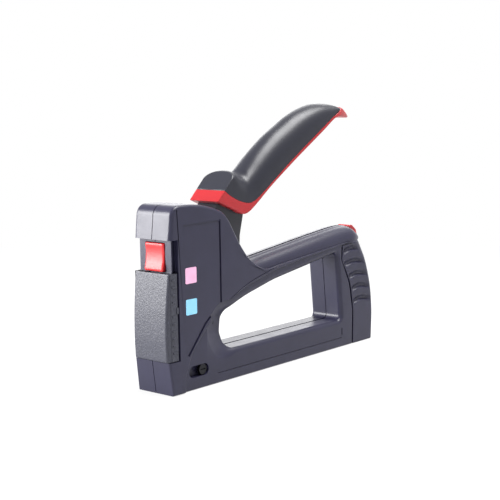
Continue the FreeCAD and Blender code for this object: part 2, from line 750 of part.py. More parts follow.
def button_spring():
    return coil(2.2, 0.5, 3.4, 4, (-0.35, 0, button_bottom + button_height / 2), (1, 0, 0))


def lever_lock():
    x, z = lock_pivot
    corners = [(x - 2.4, z - 1.0, 1), (x + 7.0, z - 1.2, 0.4), (x + 8.6, z - 1.0, 0.4),
               (x + 6.8, z + 2.2, 1.6), (x + 1.4, z + 4.4, 2.2), (x - 2.6, z + 4.0, 1)]
    return side(corners, -lock_half, lock_half).cut(rod_y(x, z, lock_pin_radius + pin_clearance, -9, 9))


def main():
    os.makedirs("parts", exist_ok=True)
    body = housing()
    save("housing_left", housing_half(body, 1))
    save("housing_right", housing_half(body, -1))
    save("housing_screws", housing_screws())
    save("channel_screws", channel_screws())
    save("nose_plate", nose_plate())
    save("magazine_channel", magazine_channel())
    save("magazine_rail", magazine_rail())
    save("pusher", pusher())
    save("pusher_rod", pusher_rod())
    save("pusher_spring", pusher_spring())
    save("rear_grip", fuse([rear_grip()] + grip_ribs()))
    save("rail_pin", rod_y(*rail_pin_place, rail_pin_radius, -8.8, 8.8))
    save("detent_ball", detent_ball())
    save("detent_spring", detent_spring())
    save("driver_blade", driver_blade())
    save("blade_rivets", blade_rivets())
    save("plunger", plunger())
    save("power_spring", power_spring())
    save("spring_seat", spring_seat())
    save("strike_buffer", strike_buffer())
    save("lifting_rocker", lifting_rocker())
    save("rocker_pin", cross_pin(rocker_pivot, pin_radius, 9.7))
    save("lever_pin", cross_pin(lever_pivot, pin_radius, 9.7))
    save("lever_tongue", lever_tongue())
    save("lever_shell", lever_shell())
    save("lever_grip", lever_grip())
    save("return_spring", return_spring())
    save("front_cover", front_cover())
    save("cover_button", cover_button())
    save("button_spring", button_spring())
    save("lever_lock", lever_lock())
    save("lock_pin", rod_y(*lock_pivot, lock_pin_radius, -7.2, 7.2))


main()
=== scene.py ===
import math

import bmesh
import bpy
from mathutils import Matrix, Vector


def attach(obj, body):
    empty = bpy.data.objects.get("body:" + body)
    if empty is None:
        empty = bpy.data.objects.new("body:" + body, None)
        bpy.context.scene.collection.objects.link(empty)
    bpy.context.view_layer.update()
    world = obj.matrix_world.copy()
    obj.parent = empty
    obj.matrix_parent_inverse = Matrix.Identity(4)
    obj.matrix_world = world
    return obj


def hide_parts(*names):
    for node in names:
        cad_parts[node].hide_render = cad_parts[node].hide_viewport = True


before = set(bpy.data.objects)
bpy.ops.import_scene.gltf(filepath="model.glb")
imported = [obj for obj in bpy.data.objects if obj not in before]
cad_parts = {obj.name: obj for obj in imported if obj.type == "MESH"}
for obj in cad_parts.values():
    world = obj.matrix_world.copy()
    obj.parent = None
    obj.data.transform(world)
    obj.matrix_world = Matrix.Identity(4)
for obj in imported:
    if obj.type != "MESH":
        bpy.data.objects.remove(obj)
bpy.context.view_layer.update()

# A hand tacker. Lengths in the pieces below are in millimetres; meshes are in metres.
# +X runs back along the magazine, +Z up, the seam of the two housing halves is at Y = 0.
mm = 0.001
print("frame loaded")


# working helpers

def deselectAll():
    if bpy.context.mode != "OBJECT":
        bpy.ops.object.mode_set(mode="OBJECT")
    bpy.ops.object.select_all(action="DESELECT")


def workOn(obj):
    deselectAll()
    obj.select_set(True)
    bpy.context.view_layer.objects.active = obj


def editAll(obj, element="VERT"):
    workOn(obj)
    bpy.ops.object.mode_set(mode="EDIT")
    bpy.ops.mesh.select_mode(type=element)
    bpy.ops.mesh.select_all(action="SELECT")


def applyModifier(obj, kind, **settings):
    workOn(obj)
    bpy.ops.object.modifier_add(type=kind)
    modifier = obj.modifiers[-1]
    for key, value in settings.items():
        setattr(modifier, key, value)
    bpy.ops.object.modifier_apply(modifier=modifier.name)


def outwards(obj):
    # doubles merged first, then the faces turned to point out
    editAll(obj)
    bpy.ops.mesh.remove_doubles(threshold=0.00001)
    bpy.ops.mesh.select_all(action="SELECT")
    bpy.ops.mesh.normals_make_consistent(inside=False)
    bpy.ops.object.mode_set(mode="OBJECT")
    return obj


def roundedOutline(corners, step=9):
    # (x, z, radius) corners to a list of points with an arc at each corner
    points = []
    for i, (x, z, radius) in enumerate(corners):
        here = Vector((x, z))
        back = Vector(corners[i - 1][:2]) - here
        ahead = Vector(corners[(i + 1) % len(corners)][:2]) - here
        opening = back.angle(ahead)
        if radius <= 0 or math.pi - opening < 0.02:
            points.append((x, z))
            continue
        reach = min(radius / math.tan(opening / 2), back.length * 0.49, ahead.length * 0.49)
        radius = reach * math.tan(opening / 2)
        centre = here + (back.normalized() + ahead.normalized()).normalized() * (radius / math.sin(opening / 2))
        first = here + back.normalized() * reach - centre
        last = here + ahead.normalized() * reach - centre
        turn = first.angle_signed(last)
        count = max(2, math.ceil(abs(math.degrees(turn)) / step))
        for k in range(count + 1):
            angle = -turn * k / count
            points.append((centre.x + first.x * math.cos(angle) - first.y * math.sin(angle),
                           centre.y + first.x * math.sin(angle) + first.y * math.cos(angle)))
    return points


def addSlab(name, points, yFrom, yTo):
    # a disc with one corner for each outline point, pulled out sideways
    deselectAll()
    bpy.ops.mesh.primitive_circle_add(vertices=len(points), radius=1, fill_type="NGON")
    obj = bpy.context.active_object
    obj.name = name
    for vertex, (x, z) in zip(obj.data.vertices, points):
        vertex.co = (x * mm, yFrom * mm, z * mm)
    editAll(obj, "FACE")
    bpy.ops.mesh.extrude_region_move(TRANSFORM_OT_translate={"value": (0, (yTo - yFrom) * mm, 0)})
    return outwards(obj)


def addBlock(name, x0, x1, y0, y1, z0, z1):
    deselectAll()
    bpy.ops.mesh.primitive_cube_add(size=mm, location=(0, 0, 0))
    obj = bpy.context.active_object
    obj.name = name
    for vertex in obj.data.vertices:
        vertex.co = (mm * (x1 if vertex.co.x > 0 else x0), mm * (y1 if vertex.co.y > 0 else y0),
                     mm * (z1 if vertex.co.z > 0 else z0))
    return obj


def addRod(name, radius, x, y0, y1, z, sides=32):
    # a round bar across the tool
    points = [(x + radius * math.cos(math.tau * k / sides), z + radius * math.sin(math.tau * k / sides))
              for k in range(sides)]
    return addSlab(name, points, y0, y1)


def addSkin(name, rings):
    # a grid laid over closed rings of (x, y, z) points, sewn along its edge and filled at both ends
    deselectAll()
    rows, around = len(rings), len(rings[0])
    bpy.ops.mesh.primitive_grid_add(x_subdivisions=around, y_subdivisions=rows - 1, size=2)
    obj = bpy.context.active_object
    obj.name = name
    for vertex in obj.data.vertices:
        place = round((vertex.co.x + 1) / 2 * around) % around
        row = round((vertex.co.y + 1) / 2 * (rows - 1))
        vertex.co = Vector(rings[row][place]) * mm
    editAll(obj)
    bpy.ops.mesh.remove_doubles(threshold=0.000002)
    bpy.ops.mesh.select_all(action="SELECT")
    bpy.ops.mesh.fill_holes(sides=0)
    return outwards(obj)


def boolean(obj, other, operation):
    # the manifold solver needs closed meshes; the second mesh is used up
    applyModifier(obj, "BOOLEAN", operation=operation, solver="MANIFOLD", object=other)
    bpy.data.objects.remove(other)


def carve(obj, *cutters):
    for cutter in cutters:
        boolean(obj, cutter, "DIFFERENCE")
    return obj


def weld(obj, *others):
    for other in others:
        boolean(obj, other, "UNION")
    return obj


def bevelWhere(obj, width, segments, chosen):
    # rounds the edges for which chosen(middle, direction) holds, in millimetres
    editAll(obj, "EDGE")
    bpy.ops.mesh.select_all(action="DESELECT")
    mesh = bmesh.from_edit_mesh(obj.data)
    for edge in mesh.edges:
        start, end = edge.verts[0].co / mm, edge.verts[1].co / mm
        if edge.calc_face_angle(0) > 0.35 and chosen((start + end) / 2, (end - start).normalized()):
            edge.select_set(True)
    bmesh.update_edit_mesh(obj.data)
    bpy.ops.mesh.bevel(offset=width * mm, segments=segments, affect="EDGES", clamp_overlap=False)
    bpy.ops.object.mode_set(mode="OBJECT")
    return obj


def score(obj, places):
    # divides the faces along planes across the tool, so that no later hole lies inside one face
    editAll(obj)
    for place in places:
        bpy.ops.mesh.select_all(action="SELECT")
        bpy.ops.mesh.bisect(plane_co=(place * mm, 0, 0), plane_no=(1, 0, 0))
    bpy.ops.object.mode_set(mode="OBJECT")
    return obj


def softenRim(obj, width, segments, plane, weight):
    # a bevel whose width changes along the rim that lies in one side plane
    weights = obj.data.attributes.new("bevel_weight_edge", "FLOAT", "EDGE")
    for edge in obj.data.edges:
        ends = [obj.data.vertices[i].co / mm for i in edge.vertices]
        if all(abs(end.y - plane) < 0.01 for end in ends):
            weights.data[edge.index].value = weight((ends[0] + ends[1]) / 2)
    applyModifier(obj, "BEVEL", width=width * mm, segments=segments, limit_method="WEIGHT",
                  use_clamp_overlap=False)
    return obj


def smooth(obj, degrees=32):
    # shaded smooth, apart from edges that turn by more than the angle
    applyModifier(obj, "TRIANGULATE", min_vertices=5, ngon_method="BEAUTY")
    workOn(obj)
    bpy.ops.object.shade_smooth_by_angle(angle=math.radians(degrees))
    applyModifier(obj, "WEIGHTED_NORMAL", keep_sharp=True, weight=60)
    return obj


def mirrored(obj, name):
    # the other hand of a piece, with its own mesh
    copy = obj.copy()
    copy.data = obj.data.copy()
    copy.name = name
    bpy.context.scene.collection.objects.link(copy)
    for vertex in copy.data.vertices:
        vertex.co.y = -vertex.co.y
    return outwards(copy)


def along(stations, key):
    # smooth value between stations, each a tuple whose first number is the place
    last = len(stations) - 1
    i = 0
    while i < last - 1 and key > stations[i + 1][0]:
        i += 1
    a, b = stations[i], stations[i + 1]
    before, after = stations[max(i - 1, 0)], stations[min(i + 2, last)]
    t = max(0.0, min(1.0, (key - a[0]) / (b[0] - a[0])))
    values = []
    for k in range(1, len(a)):
        slopeA = (b[k] - before[k]) / (b[0] - before[0]) * (b[0] - a[0])
        slopeB = (after[k] - a[k]) / (after[0] - a[0]) * (b[0] - a[0])
        values.append((2 * t ** 3 - 3 * t ** 2 + 1) * a[k] + (t ** 3 - 2 * t ** 2 + t) * slopeA
                      + (3 * t ** 2 - 2 * t ** 3) * b[k] + (t ** 3 - t ** 2) * slopeB)
    return values


def finishPiece(obj, body, slot, material, *nodes):
    # its look, the body it moves with, and the frame parts that it stands for
    obj.data.materials.clear()
    obj.data.materials.append(material)
    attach(obj, body)
    if nodes:
        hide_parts(*nodes)
    return obj


# materials

def fromHex(value):
    # sRGB hex to linear
    channels = [int(value[i:i + 2], 16) / 255 for i in (1, 3, 5)]
    return [c / 12.92 if c < 0.04045 else ((c + 0.055) / 1.055) ** 2.4 for c in channels] + [1.0]


def addNode(tree, kind, settings=None, links=None):
    # settings are properties or input values; links are the outputs that feed its inputs
    node = tree.nodes.new(kind)
    for key, value in (settings or {}).items():
        if isinstance(key, str) and hasattr(node, key):
            setattr(node, key, value)
        else:
            node.inputs[key].default_value = value
    for key, source in (links or {}).items():
        tree.links.new(source, node.inputs[key])
    return node


def newMaterial(name):
    material = bpy.data.materials.new(name)
    material.use_nodes = True
    material.node_tree.nodes.clear()
    return material, material.node_tree


def perMetre(sizeMm):
    # noise scale for features of a size in millimetres
    return 1000 / sizeMm


# shared by all the plastics: refractive index, and roughness of the noise that makes the grain
resin = {"index": 1.42, "grainRoughness": 0.6}

# colours in sRGB hex
plasticLooks = {
    # glass-filled polyamide, spark-eroded mould: a cool charcoal with a satin sheen
    "satinPolyamideCharcoal": {"colour": "#26253a", "shade": "#1f1e31", "roughness": 0.36, "spread": 0.06,
                               "grain": 0.45, "depth": 0.012, "mottle": 9.0},
    # the same resin from a coarsely etched mould: greyer, because the pits scatter the light
    "etchedPolyamideGrey": {"colour": "#3b3c48", "shade": "#282932", "roughness": 0.44, "spread": 0.08,
                            "grain": 0.85, "depth": 0.16, "mottle": 1.1},
    # ABS moulded in colour: a clean warm red with a fairly tight gloss
    "redAbs": {"colour": "#a11820", "shade": "#93141b", "roughness": 0.34, "spread": 0.05,
               "grain": 0.6, "depth": 0.006, "mottle": 12.0},
    # the button is a paler copy of the same red
    "redAbsButton": {"colour": "#b42024", "shade": "#a8191d", "roughness": 0.36, "spread": 0.06,
                     "grain": 0.5, "depth": 0.010, "mottle": 4.0},
    # thermoplastic elastomer over the lever: dull blue-black with a broad soft highlight
    "softTouchElastomer": {"colour": "#1a1b27", "shade": "#151620", "roughness": 0.38, "spread": 0.05,
                           "grain": 0.35, "depth": 0.010, "mottle": 7.0},
    # nylon arm under the lever, self-coloured and a little waxy
    "waxyNylonBlack": {"colour": "#24242c", "shade": "#1e1e25", "roughness": 0.44, "spread": 0.05,
                       "grain": 0.5, "depth": 0.010, "mottle": 8.0},
    # nitrile pad, dead matt
    "nitrileRubber": {"colour": "#1c1c1f", "shade": "#161618", "roughness": 0.75, "spread": 0.05,
                      "grain": 0.4, "depth": 0.020, "mottle": 5.0},
    # pad-printed squares, thin ink that lets a little of the moulding grain through
    "pinkPadInk": {"colour": "#dba9c8", "shade": "#d29cbd", "roughness": 0.45, "spread": 0.05,
                   "grain": 0.45, "depth": 0.010, "mottle": 3.0},
    "lightBluePadInk": {"colour": "#86c3e0", "shade": "#79b8d8", "roughness": 0.45, "spread": 0.05,
                        "grain": 0.45, "depth": 0.010, "mottle": 3.0},
}


def mouldedPlastic(name):
    look = plasticLooks[name]
    material, tree = newMaterial(name)
    place = addNode(tree, "ShaderNodeTexCoord").outputs["Object"]
    mottle = addNode(tree, "ShaderNodeTexNoise", {"Scale": perMetre(look["mottle"]), "Detail": 3.0},
                     {"Vector": place})
    colour = addNode(tree, "ShaderNodeMix", {"data_type": "RGBA", 6: fromHex(look["colour"]),
                                             7: fromHex(look["shade"])}, {0: mottle.outputs["Fac"]})
    sheen = addNode(tree, "ShaderNodeMapRange",
                    {"To Min": look["roughness"] - look["spread"],
                     "To Max": look["roughness"] + look["spread"]},
                    {"Value": mottle.outputs["Fac"]})
    # grit of a real mould is near 0.1 mm; it is drawn coarser so that it shows
    grain = addNode(tree, "ShaderNodeTexNoise", {"Scale": perMetre(look["grain"]), "Detail": 2.0,
                                                 "Roughness": resin["grainRoughness"]},
                    {"Vector": place})
    bump = addNode(tree, "ShaderNodeBump", {"Strength": 1.0, "Distance": look["depth"] * mm},
                   {"Height": grain.outputs["Fac"]})
    shader = addNode(tree, "ShaderNodeBsdfPrincipled", {"IOR": resin["index"]},
                     {"Base Color": colour.outputs[2], "Roughness": sheen.outputs["Result"],
                      "Normal": bump.outputs["Normal"]})
    addNode(tree, "ShaderNodeOutputMaterial", None, {"Surface": shader.outputs["BSDF"]})
    return material


metalLooks = {
    # rolled strip with bright zinc: cool, streaked along its length
    "zincPlatedStrip": {"colour": "#b9bcc0", "shade": "#a3a7ad", "roughness": 0.32, "streak": (0.15, 1.0, 1.0),
                        "grain": 1.2, "depth": 0.004},
    # hardened tool steel, ground: greyer, with crossways grinding marks
    "groundToolSteel": {"colour": "#8e9094", "shade": "#77797e", "roughness": 0.30, "streak": (1.0, 0.12, 1.0),
                        "grain": 0.8, "depth": 0.004},
    # hard-drawn wire, lightly oiled
    "drawnSpringWire": {"colour": "#84858a", "shade": "#64656a", "roughness": 0.26, "streak": (1.0, 1.0, 0.3),
                        "grain": 1.0, "depth": 0.003},
    # chemically blackened screws: near black with a low sheen; on the channel screws this near black is painted
    # shade, so that the deep oval recess round them reads dark
    "blackOxideSteelAndRecessShade": {"colour": "#3a3a3d", "shade": "#29292c", "roughness": 0.42, "streak": (1.0, 1.0, 1.0),
                        "grain": 0.7, "depth": 0.004},
}


def finishedMetal(name):
    look = metalLooks[name]
    material, tree = newMaterial(name)
    place = addNode(tree, "ShaderNodeTexCoord").outputs["Object"]
    drawn = addNode(tree, "ShaderNodeMapping", {"Scale": look["streak"]}, {"Vector": place})
    streaks = addNode(tree, "ShaderNodeTexNoise", {"Scale": perMetre(look["grain"]), "Detail": 4.0},
                      {"Vector": drawn.outputs["Vector"]})
    colour = addNode(tree, "ShaderNodeMix", {"data_type": "RGBA", 6: fromHex(look["colour"]),
                                             7: fromHex(look["shade"])}, {0: streaks.outputs["Fac"]})
    dull = addNode(tree, "ShaderNodeMapRange", {"To Min": look["roughness"] - 0.08,
                                                "To Max": look["roughness"] + 0.10},
                   {"Value": streaks.outputs["Fac"]})
    bump = addNode(tree, "ShaderNodeBump", {"Strength": 1.0, "Distance": look["depth"] * mm},
                   {"Height": streaks.outputs["Fac"]})
    shader = addNode(tree, "ShaderNodeBsdfPrincipled", {"Metallic": 1.0},
                     {"Base Color": colour.outputs[2], "Roughness": dull.outputs["Result"],
                      "Normal": bump.outputs["Normal"]})
    addNode(tree, "ShaderNodeOutputMaterial", None, {"Surface": shader.outputs["BSDF"]})
    return material


finish = {name: mouldedPlastic(name) for name in plasticLooks}
finish.update({name: finishedMetal(name) for name in metalLooks})
print("finishes made")


# housing

housingSizes = {
    "noseHalf": 12.2,       # half width of the raised side at the nose
    "noseTaper": 1.3,       # what the raised side loses from there to the rear
    "noseRound": 1.9,
    "bodyHalf": 10.7,       # half width of the bars
    "bodyRound": 0.8,
    "seam": 0.20,           # half the gap between the two mouldings
    "topGroove": (0.80, 1.5),   # half width and depth of the groove along the top of the grip
    "roll": (7.2, 0.5),     # shoulder of the rolled grip, and the crown of its top
    "panelDepth": 0.45,
    "panelGroove": (0.55, 1.1),   # width and depth of the line round the panel
    "rim": (2.5, 2.6),      # rounding of the finger opening: along the side, and into it
    "dish": (12.0, 2.7),    # what its front end adds to that
    "line": (0.75, 0.45),   # width and depth of the line that follows the opening
}

noseOutline = [
    (-4.2, 0.2, 0), (-6.2, 16.5, 0), (-4.5, 74.8, 0), (-2.7, 91.0, 5.5), (8.0, 90.9, 30),
    (16.4, 90.3, 45), (24.9, 88.4, 30), (33.4, 85.6, 12), (38.2, 80.2, 9), (45.0, 69.2, 60), (51.2, 61.4, 30),
    (57.2, 56.4, 12), (66.0, 52.4, 14), (78.2, 53.9, 60), (143.7, 59.6, 0), (137.2, 58.6, 1),
    (129.0, 57.6, 1), (98.6, 54.7, 80), (73.2, 51.4, 80), (49.2, 45.7, 60), (34.0, 40.0, 40),
    (22.5, 32.0, 40), (9.3, 19.5, 20), (4.6, 8.0, 8), (4.3, 0.2, 0)]

frameOutline = [
    (0, 0, 0), (142.6, 0, 0), (143.1, 19.4, 8), (140.2, 35.4, 20), (132.8, 50.1, 2), (133.2, 58.0, 0),
    (120.0, 58.0, 0), (60.0, 50.0, 0), (30.0, 50.0, 0), (0, 40.0, 0)]

fingerOutline = [
    (38.2, 15.6, 9.0), (132.4, 15.6, 2.6), (128.9, 53.8, 2.4), (75.0, 46.0, 80.0), (51.0, 40.4, 80.0),
    (36.6, 34.9, 7.0), (35.4, 24.0, 6.0)]

# place along the roll: top, crease, half width and foot
rollStations = [
    (52.0, 59.4, 56.6, 9.9, 50.0), (57.0, 57.9, 54.6, 10.2, 49.0),
    (62.0, 58.4, 52.6, 10.3, 48.6), (68.2, 59.1, 51.9, 10.3, 48.6), (91.5, 62.0, 54.2, 10.25, 50.4),
    (117.9, 65.2, 57.0, 10.25, 53.5), (136.0, 67.1, 58.4, 10.3, 57.4), (143.7, 67.4, 59.3, 10.4, 58.0),
    (147.0, 67.1, 60.0, 10.0, 58.6), (150.0, 66.0, 60.2, 9.0, 59.0), (152.6, 64.4, 60.0, 7.8, 59.2),
    (154.4, 62.4, 59.9, 6.7, 59.4), (155.4, 60.4, 59.8, 5.7, 59.5)]


def noseHalfAt(x):
    # the raised side narrows towards the rear and at the front corners
    widest = housingSizes["noseHalf"]
    if x < -3.2:
        return widest - 0.16 * (-3.2 - x)
    return widest if x < 40 else widest - housingSizes["noseTaper"] * (x - 40) / 105


def finelySpaced(points, span):
    # the outline with no side longer than the span
    spaced = []
    for i, point in enumerate(points):
        ahead = points[(i + 1) % len(points)]
        count = max(1, round(math.dist(point, ahead) / span))
        spaced += [(point[0] + (ahead[0] - point[0]) * k / count, point[1] + (ahead[1] - point[1]) * k / count)
                   for k in range(count)]
    return spaced


def noseSlab():
    # raised side of the nose, the neck and the band over the opening
    side = housingSizes["noseHalf"]
    slab = addSlab("noseSlab", finelySpaced(roundedOutline(noseOutline), 3.0), -housingSizes["seam"], -side)

    def rounding(place):
        # wide at the top and the neck, tight at the foot and where the raised side ends
        if place.x < -1.9:
            return 0.5 + 0.5 * min(1.0, max(0.0, (place.z - 20) / 50))
        if place.z < 58 and place.x < 60 or place.z < 54:
            return 0.34
        return 0.22 + 0.63 * min(1.0, max(0.0, (96 - place.x) / 40)) if place.x > 56 else 0.85

    softenRim(slab, housingSizes["noseRound"], 5, -side, rounding)
    for vertex in slab.data.vertices:
        vertex.co.y *= noseHalfAt(vertex.co.x / mm) / side
    return slab


def frameSlab():
    # lower bar, rear column and the ground of the upper bar
    side = housingSizes["bodyHalf"]
    slab = addSlab("frameSlab", roundedOutline(frameOutline), -housingSizes["seam"], -side)
    return softenRim(slab, housingSizes["bodyRound"], 3, -side,
                     lambda place: 1.0 if place.z < 1 or place.x > 130 else 0.0)


def gripRoll():
    # upper bar with its rolled top, one half, from the neck to the rear
    seam = -housingSizes["seam"]
    edge, deep = housingSizes["topGroove"]
    widest, crown = housingSizes["roll"]
    first, last = rollStations[0][0], rollStations[-1][0]
    rings = []
    for k in range(71):
        x = first + (last - first) * k / 70
        top, crease, half, foot = along(rollStations, x)
        shoulder = min(widest, half - 0.6)
        ring = [(x, seam, foot), (x, -half, foot)]
        for j in range(17):
            t = math.pi / 2 * j / 16
            ring.append((x, -half + shoulder * (1 - math.cos(t)),
                         crease + (top - crown - crease) * math.sin(t)))
        ring += [(x, -(half - shoulder) * (1 - j / 4) - edge * j / 4, top - crown * (1 - j / 4) ** 2)
                 for j in (1, 2, 3, 4)]
        ring += [(x, -edge, top - deep), (x, seam, top - deep)]
        rings.append(ring)
    return addSkin("gripRoll", rings)


def fingerPlug():
    # the finger opening, flared towards the side into a rounded rim
    spread = finelySpaced(roundedOutline(fingerOutline, 6), 2.0)
    total = len(spread)
    normals = []
    for i in range(total):
        dx = spread[(i + 1) % total][0] - spread[i - 1][0]
        dz = spread[(i + 1) % total][1] - spread[i - 1][1]
        size = math.hypot(dx, dz)
        normals.append((dz / size, -dx / size))
    # how far each point faces the front, evened out round the corners
    forward = [max(0.0, -n[0]) ** 2 for n in normals]
    for _ in range(6):
        forward = [(forward[i - 1] + forward[i] + forward[(i + 1) % total]) / 3 for i in range(total)]
    wide = [housingSizes["rim"][0] + housingSizes["dish"][0] * share for share in forward]
    deep = [housingSizes["rim"][1] + housingSizes["dish"][1] * share for share in forward]
    side = housingSizes["bodyHalf"]
    rings = [[(x, 2.0, z) for x, z in spread]]
    for k in range(11):
        t = math.pi / 2 * k / 10
        ring = []
        for (x, z), n, w, d, share in zip(spread, normals, wide, deep, forward):
            # round at the rim, nearly straight across the dish
            run = (1 - share) * (1 - math.cos(t)) + share * k / 10
            fall = (1 - share) * (1 - math.sin(t)) + share * (1 - k / 10)
            ring.append((x + n[0] * w * run, -(side - d * fall), z + n[1] * w * run))
        rings.append(ring)
    for extra, y in ((0.0, side + 0.4), (0.8, side + 3)):
        rings.append([(x + n[0] * (w + extra), -y, z + n[1] * (w + extra))
                      for (x, z), n, w in zip(spread, normals, wide)])
    return addSkin("fingerPlug", rings)


def edgeLine(points, surface):
    # cutter for a shallow line along the points, on the side at the given height
    wide, deep = housingSizes["line"]
    rings = []
    for i, (x, z) in enumerate(points):
        before, after = points[max(0, i - 1)], points[min(len(points) - 1, i + 1)]
        way = Vector((after[0] - before[0], after[1] - before[1])).normalized()
        y = surface(x)
        rings.append([(x - way.y * wide / 2, -y - 0.3, z + way.x * wide / 2), (x, -y + deep, z),
                      (x + way.y * wide / 2, -y - 0.3, z - way.x * wide / 2)])
    return addSkin("edgeLine", rings)


def openingLine():
    return edgeLine(roundedOutline([(14.6, 17.3, 0), (20.6, 28.0, 12), (29.0, 37.3, 12), (49.2, 47.2, 60),
                                    (73.2, 52.9, 60), (104.0, 57.0, 0)]), noseHalfAt)


def panelCutters():
    # the sunk label panel and the line down its rear side
    side = housingSizes["noseHalf"]
    panel = roundedOutline([(4.6, 81.6, 1), (30.2, 81.6, 1), (30.2, 40.8, 1.5), (18.9, 32.4, 12),
                            (6.2, 17.8, 0.5), (4.6, 20.0, 0.5)])
    wide, deep = housingSizes["panelGroove"]
    groove = roundedOutline([(30.2, 82.0, 0), (30.2 + wide, 82.0, 0), (30.2 + wide, 40.4, 2),
                             (19.3, 31.9, 12), (6.9, 17.6, 0), (6.3, 18.0, 0), (18.8, 32.5, 12),
                             (30.2, 40.9, 1.5)])
    return [addSlab("panel", panel, -side + housingSizes["panelDepth"], -side - 1),
            addSlab("groove", groove, -side + deep, -side - 1)]


def housingRooms():
    # the working space inside the mouldings, as x, y and z ranges
    blocks = [
        ("coverSide", -9, 0.8, -14, -10.4, 16.5, 74.8), ("coverLip", -1.6, 0.2, -12.3, -9.3, 16.5, 74.8),
        ("coverSeat", -9, -3.4, -14, 1, 16.5, 58.7), ("recessBand", -9, -2.2, -14, 1, 58.6, 74.8),
        ("noseSlot", -2.15, 1.0, -7.9, 1, -1, 46.2), ("bladeSlot", -0.95, 0.95, -5.9, 1, 40, 54.1),
        ("lugSlot", 0, 5.2, -5.9, 1, 32.9, 54.1), ("chamber", 5.0, 19.2, -7.1, 1, 26.0, 86.0),
        ("magazine", 0.95, 180, -7.0, 1, -1, 14.5), ("buttonFace", -9, 1.6, -6.5, 1, 59.2, 73.4),
        ("buttonStem", -0.3, 3.6, -3.2, 1, 62.9, 69.7), ("lockRoom", 147.6, 172, -4.9, 1, 60.8, 82),
        ("barGroove", 43, 131, -0.6, 1, 14.4, 15.8), ("detentRoom", 133.6, 146, -3.3, 1, 16.6, 22.5),
        ("detentBore", 136.4, 140.0, -1.8, 1, 19.6, 30.4)]
    cutters = [addBlock(*sizes) for sizes in blocks]
    sweep = [(11.0, 39.8), (24, 41.6), (40, 41.6), (54, 43.6), (57, 57), (46, 64), (26, 62.5), (11.0, 62.5)]
    cutters.append(addSlab("rockerRoom", sweep, 1, -3.1))
    mouth = [(23.3, 100), (23.3, 66.5), (33, 50.4), (45, 50.4), (53.4, 58.0), (53.4, 100)]
    cutters.append(addSlab("tongueRoom", mouth, 1, -7.1))
    for x, z, radius, reach in ((30, 74, 2.56, 9.9), (34, 50, 2.56, 9.9), (151.4, 62.2, 1.25, 5.6)):
        cutters.append(addRod("pinRoom", radius, x, 1, -reach, z))
    weight = roundedOutline([(70, 50.2, 1), (131, 59, 1), (131, 62.6, 1), (70, 55.2, 1)])
    cutters.append(addSlab("lightening", weight, 1, -7.3))
    return cutters


def sideDetails():
    # oval recess of the channel screw, the moulded line and the small slot
    oval = roundedOutline([(7.9, 6.2, 2.85), (21.8, 6.2, 2.85), (21.8, 12.0, 2.85), (7.9, 12.0, 2.85)])
    return [score(addSlab("oval", oval, -7.3, -14), (12.0, 18.4)),
            addBlock("mouldedLine", 28.7, 132.2, -12, -10.35, 5.1, 5.45),
            addBlock("smallSlot", 132.3, 133.1, -12, -9.6, 6.7, 10.7),
            addRod("screwPath", 1.45, 18.4, -6, -9, 9.1)]


housingScrews = [(21.0, 79.0), (26.5, 31.0), (63.0, 51.0), (139.5, 62.6), (136.2, 36.0)]


def buildHousing():
    # one half is made, and the other is its mirror image; the screw cuts below have no effect yet,
    # because the solver refuses the halves as not closed, so the housing hides the screw heads
    half = weld(noseSlab(), frameSlab(), gripRoll())
    score(half, (0.1, 6.0, 12.0, 18.4, 21.0, 26.5, 29.0, 36.0, 50.0, 63.0, 80.0, 90.0, 110.0, 120.0, 132.7,
                 136.2))
    carve(half, fingerPlug(), openingLine(), *panelCutters(), *sideDetails(), *housingRooms())
    outwards(half)
    other = mirrored(half, "housingLeft")
    half.name = "housingRight"
    for x, z in housingScrews:
        carve(other, addRod("screwBore", 1.5, x, 0, 14, z, 24), addRod("screwHead", 2.8, x, 6.4, 14, z, 32))
        carve(half, addRod("screwEnd", 1.45, x, 1, -9.0, z, 24))
    for obj in (half, other):
        smooth(obj, 28)
    finishPiece(half, "housing", "housing_plastic", finish["satinPolyamideCharcoal"], "housing_right")
    finishPiece(other, "housing", "housing_plastic", finish["satinPolyamideCharcoal"], "housing_left")
    print("housing built")


buildHousing()


# label squares on the side panel

patchSizes = {"corner": 0.7, "inner": -11.70, "outer": -11.80}


def buildPatches():
    corner = patchSizes["corner"]
    for name, ink, x0, z0, size in (("upperPatch", "pinkPadInk", 5.7, 53.0, 7.7),
                                    ("lowerPatch", "lightBluePadInk", 5.7, 37.8, 7.6)):
        outline = roundedOutline([(x0, z0, corner), (x0 + size, z0, corner), (x0 + size, z0 + size, corner),
                                  (x0, z0 + size, corner)])
        patch = addSlab(name, outline, patchSizes["inner"], patchSizes["outer"])
        smooth(patch, 30)
        finishPiece(patch, "housing", "housing_plastic", finish[ink])
    print("patches placed")


buildPatches()


# lever

leverSizes = {
    "gap": 0.12,            # between the soft grip and the shell
    "slices": 150,
    "shellSlices": 120,
    "shellEnd": 0.90,       # share of the lever at which the beak takes over
    "shellCorner": 0.7,
    "beakSlices": 60,
    "grooveHalf": 6.55,     # half width of the slot for the arm
}

